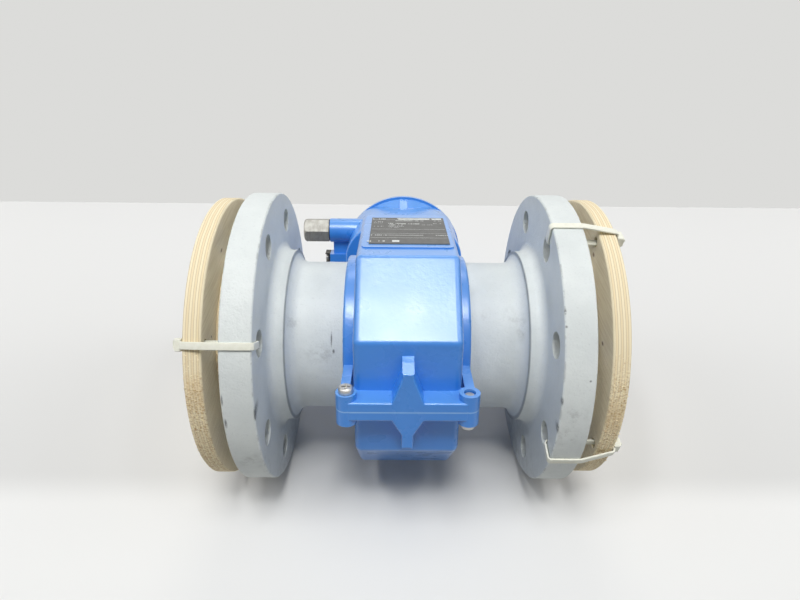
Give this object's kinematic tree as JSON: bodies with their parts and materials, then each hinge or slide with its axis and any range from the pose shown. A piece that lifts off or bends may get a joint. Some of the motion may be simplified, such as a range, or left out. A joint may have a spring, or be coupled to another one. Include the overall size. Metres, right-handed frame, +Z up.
{
  "type": "electromagnetic flow meter",
  "caption": "Flanged measuring tube in a blue two-part sensor shell with a clamping lug, neck and round connection housing, lying on its side with tied-on plywood discs over both flanges.",
  "frame": {"origin": "middle of the flow bore, on the pipe axis", "axes": "+X along the pipe, +Z up as the meter lies on its side on both flange rims and the housing rim, +Y away from the lug, so the neck points along +Y and dips 13.60 degrees below it"},
  "size_m": [0.2926, 0.3469, 0.2204],
  "materials": {
    "flange_paint": "semi-gloss light grey paint over a cast and forged surface",
    "blue_coat": "glossy blue powder coating",
    "stainless": "machined",
    "bright_nickel": "bright plated",
    "coil_steel": "sheet steel",
    "copper_wire": "enamelled copper winding",
    "liner_polymer": "smooth",
    "insulator": "smooth",
    "seal_rubber": "matt",
    "lead_sleeve": "matt",
    "board_green": "satin",
    "terminal_plastic": "matt",
    "plate_grey": "satin, with fine light ruled lines",
    "plywood": "sanded birch plywood, raw edge",
    "nylon": "natural, translucent ivory"
  },
  "bodies": {
    "meter": {"board_standoffs": "stainless", "cable_entry_adapter": "bright_nickel", "cable_tie_left": "nylon", "cable_tie_right_lower": "nylon", "cable_tie_right_upper": "nylon", "connection_housing": "blue_coat", "earth_clamp": "stainless", "earth_screw": "stainless", "electrode_bush_front": "insulator", "electrode_bush_rear": "insulator", "electrode_front": "stainless", "electrode_nut_front": "stainless", "electrode_nut_rear": "stainless", "electrode_rear": "stainless", "entry_plug": "bright_nickel", "entry_seal_front": "seal_rubber", "entry_seal_rear": "seal_rubber", "field_coil_lower": "copper_wire", "field_coil_upper": "copper_wire", "flange_left": "flange_paint", "flange_right": "flange_paint", "half_shell_front": "blue_coat", "half_shell_rear": "blue_coat", "housing_screws": "stainless", "lead_bundle": "lead_sleeve", "liner": "liner_polymer", "lug_screw_left": "stainless", "lug_screw_right": "stainless", "measuring_tube": "flange_paint", "nameplate": "plate_grey", "neck": "blue_coat", "neck_gasket": "seal_rubber", "neck_screws": "stainless", "plywood_disc_left": "plywood", "plywood_disc_right": "plywood", "pole_core_lower": "coil_steel", "pole_core_upper": "coil_steel", "return_yoke": "coil_steel", "shell_gasket": "seal_rubber", "terminal_block": "terminal_plastic", "terminal_board": "board_green", "terminal_screws": "stainless"},
    "seal_ring": {"cover_seal": "seal_rubber"},
    "screw_cover": {"cover": "blue_coat"}
  },
  "joints": [
    {"name": "cover_travel", "type": "slide", "parent": "meter", "child": "seal_ring", "axis": [0, 0.972, -0.2351], "range_m": [0, 0.0101]},
    {"name": "cover_turn", "type": "hinge", "parent": "seal_ring", "child": "screw_cover", "pos_m": [0, 0.2012, -0.04867], "axis": [0, 0.972, -0.2351], "range_deg": [0, 1800]}
  ],
  "couplings": [
    {"joint": "cover_travel", "follows": "cover_turn", "m_per_rad": 0.00031831}
  ]
}
